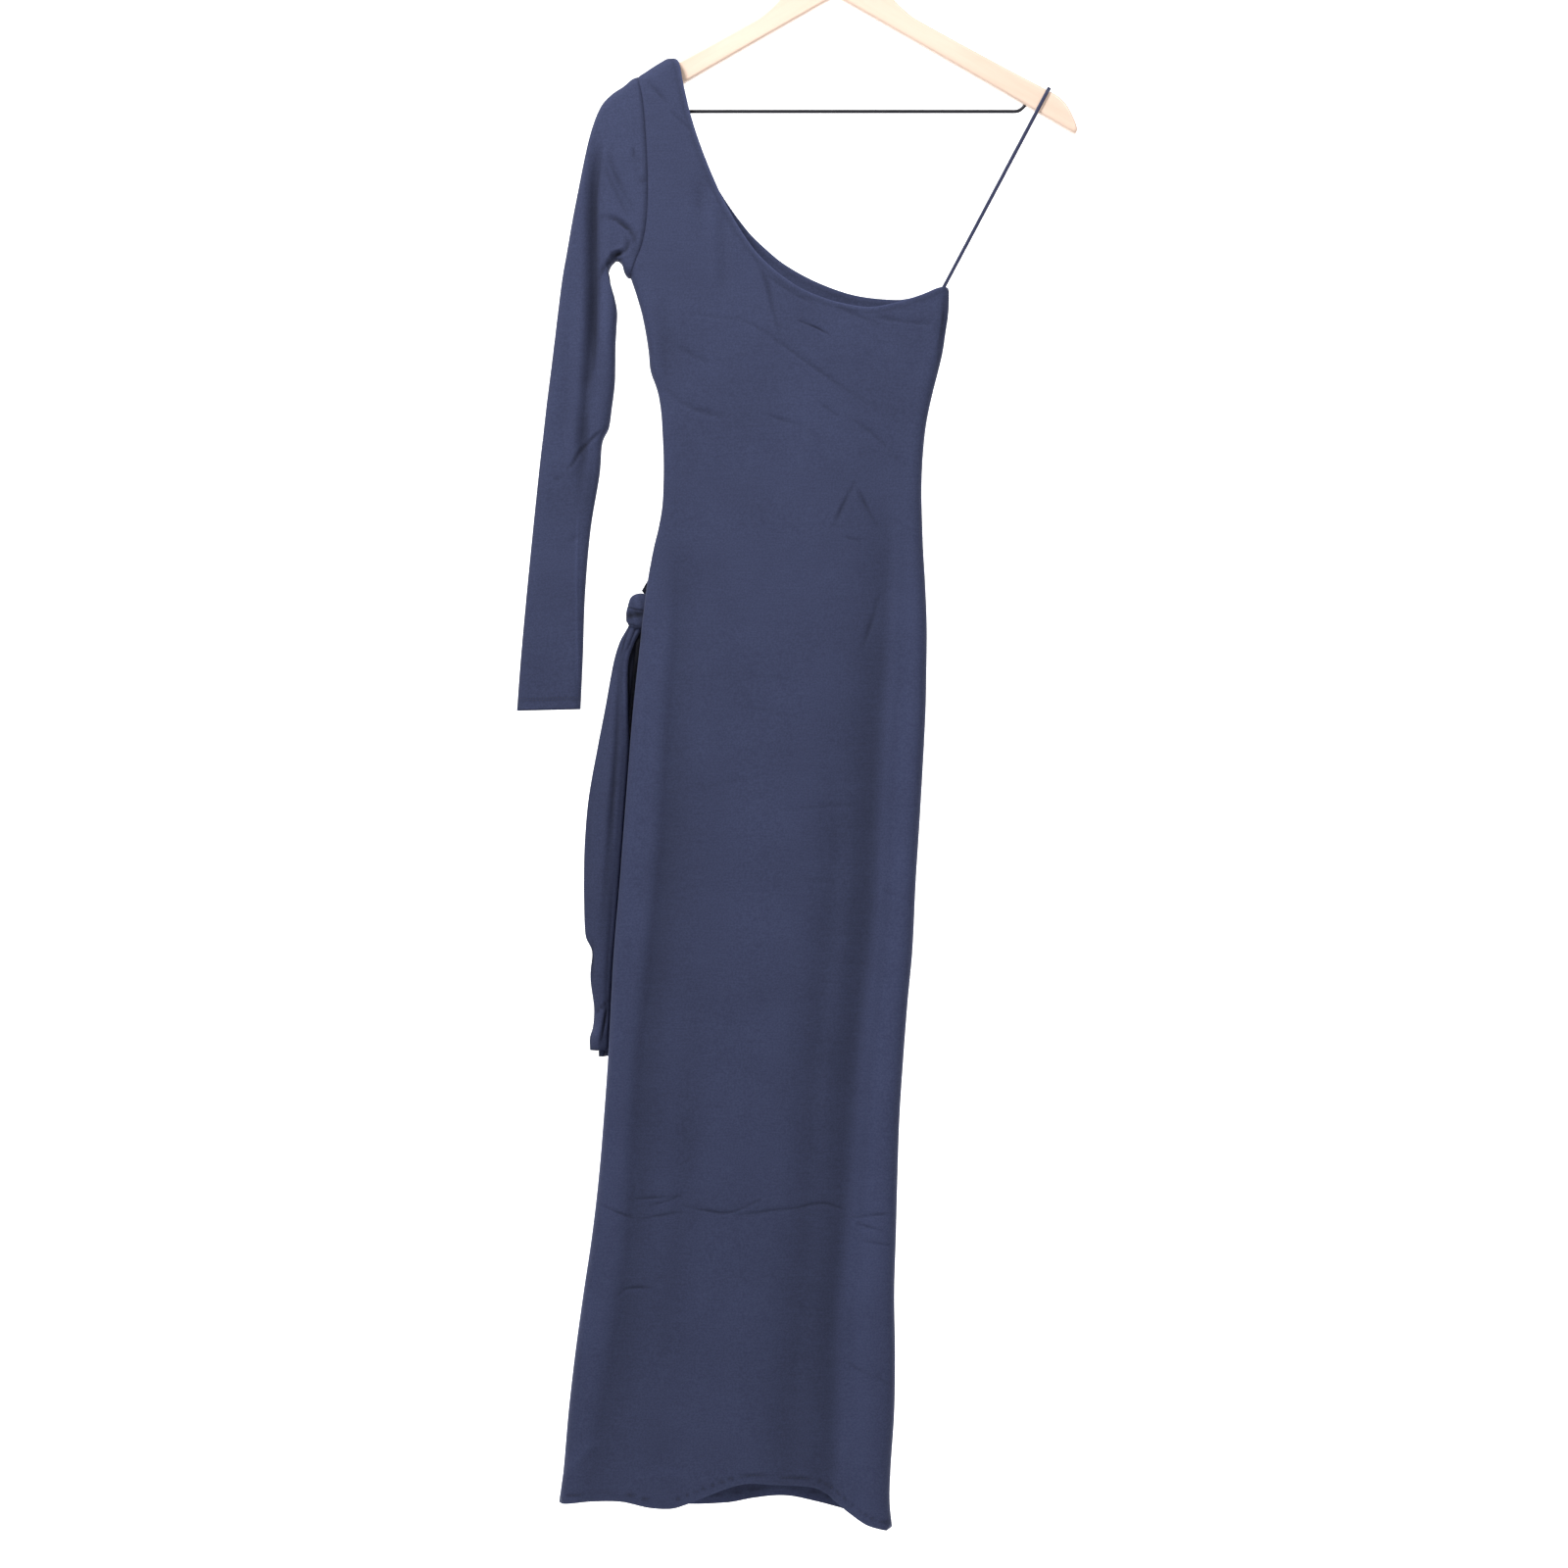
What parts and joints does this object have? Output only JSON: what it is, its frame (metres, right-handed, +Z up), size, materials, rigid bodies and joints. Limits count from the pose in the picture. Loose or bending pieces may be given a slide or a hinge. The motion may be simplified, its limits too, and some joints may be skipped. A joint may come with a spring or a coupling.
{
  "type": "one-shoulder dress on a hanger",
  "caption": "Long slim one-shoulder dress with one long sleeve and a tie at the hip, hung on a flat wooden hanger with a metal bar.",
  "frame": {"origin": "inside top of the hanger's hook, where it rests on a rail", "axes": "+Z up, -Y out of the dress's front, +X to the right as seen from the front"},
  "size_m": [0.5372, 0.0364, 1.577],
  "materials": {
    "jersey": "smooth navy double jersey, matt with a faint sheen",
    "ribbon": "narrow navy satin ribbon",
    "wood": "pale beech under clear lacquer",
    "bar": "dark satin steel wire",
    "hook": "bright chromed wire"
  },
  "bodies": {
    "root": {"front": "jersey", "back": "jersey", "sleeve": "jersey", "tie_band": "jersey", "tie_knot": "jersey", "tie_tail_outer": "jersey", "tie_tail_inner": "jersey", "hanging_loop": "ribbon", "hanger_arms": "wood", "hanger_bar": "bar", "hanger_hook": "hook"}
  },
  "joints": []
}
